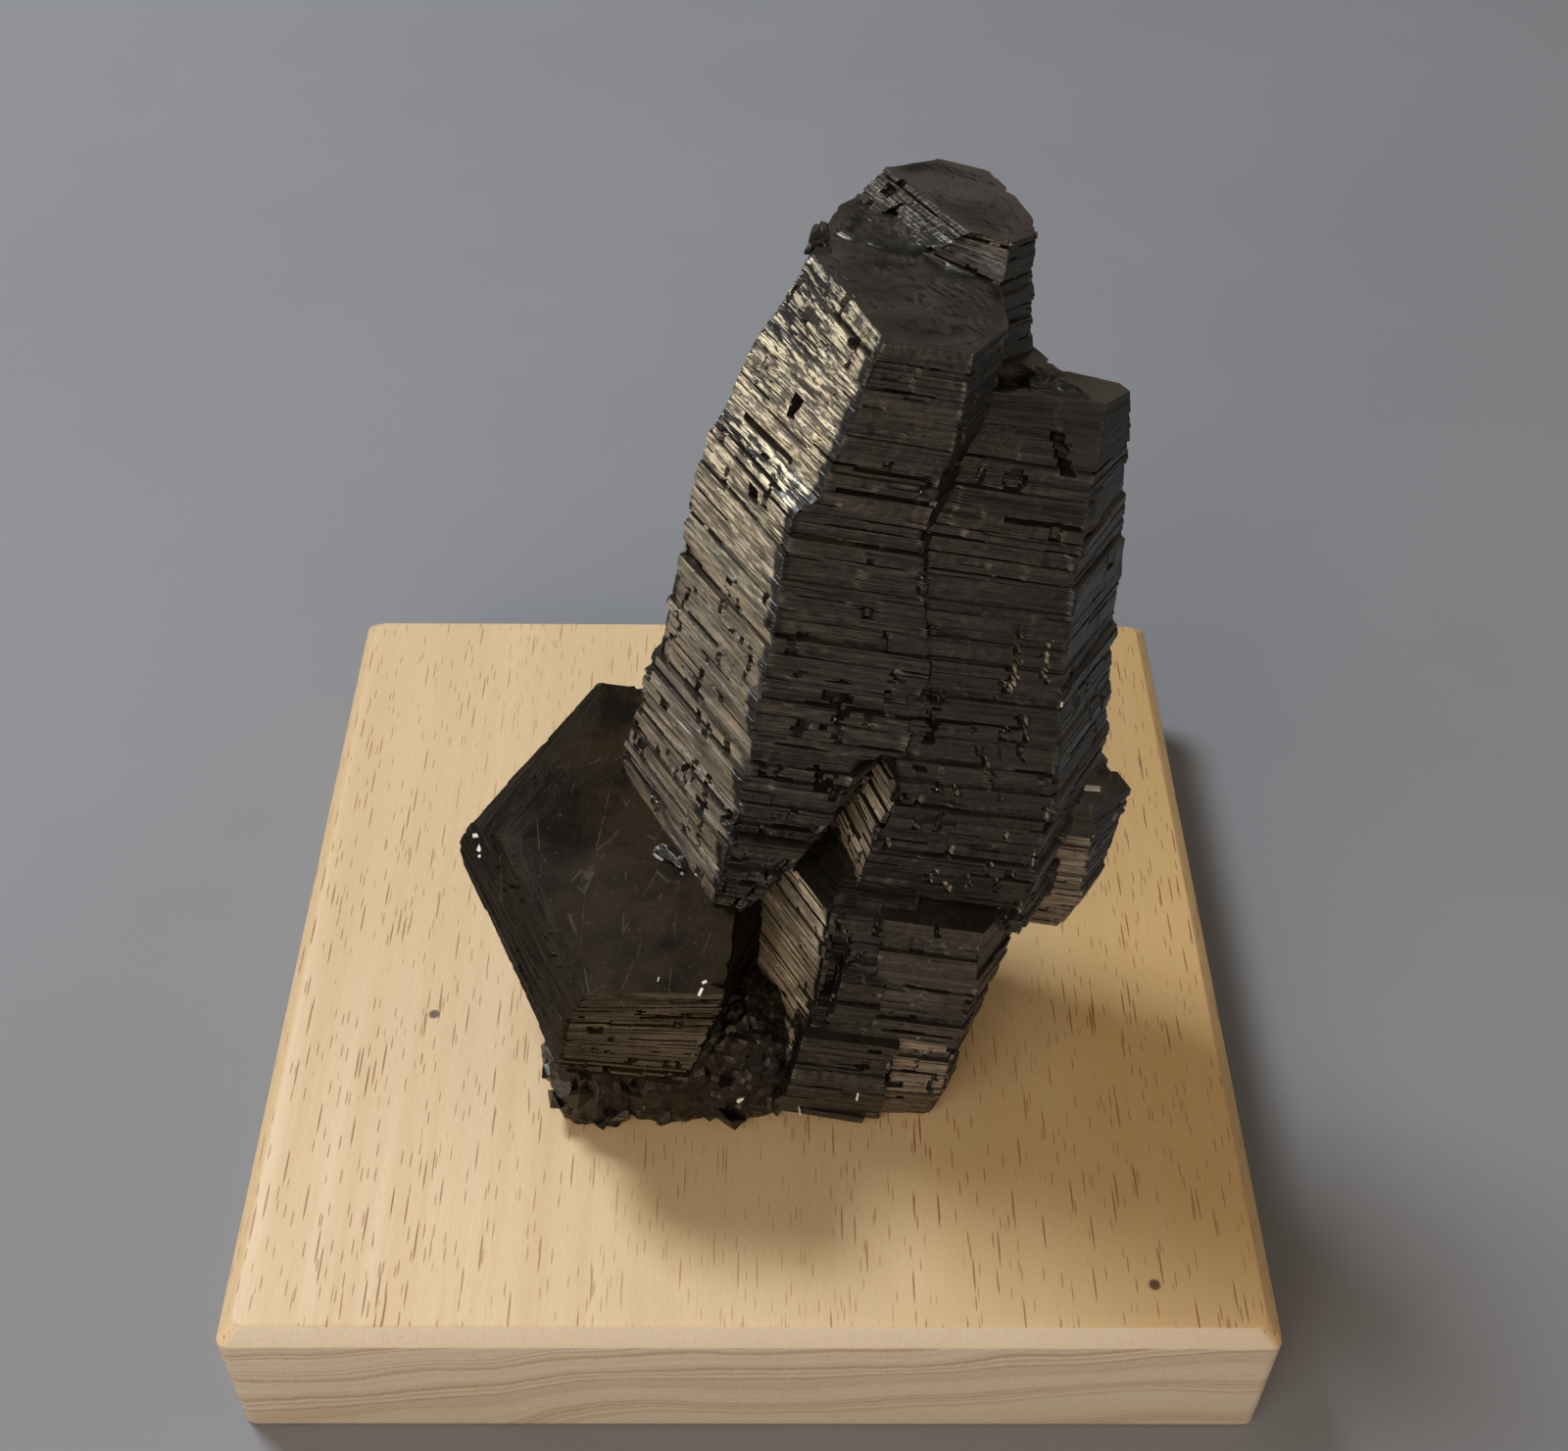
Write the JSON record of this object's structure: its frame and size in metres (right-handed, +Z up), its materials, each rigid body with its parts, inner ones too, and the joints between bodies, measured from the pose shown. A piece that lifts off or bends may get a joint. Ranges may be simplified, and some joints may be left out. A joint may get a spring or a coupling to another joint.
{
  "type": "pyrrhotite crystal specimen on a wooden block",
  "caption": "Group of intergrown hexagonal pyrrhotite crystals, tall stepped prisms and a thick tabular crystal, standing on a square hardwood block.",
  "frame": {"origin": "centre of the block's flat underside", "axes": "+Z up, front of the block is -Y, +X to the viewer's right"},
  "size_m": [0.105, 0.105, 0.1076],
  "materials": {
    "pyrrhotite": "dark bronze-brown metallic crystal faces, finely striated across, smooth and tarnished on the basal faces",
    "pale_wood": "planed pale hardwood with thin brown vessel lines, unvarnished"
  },
  "bodies": {
    "root": {"pyrrhotite_cluster": "pyrrhotite", "wood_block": "pale_wood"}
  },
  "joints": []
}
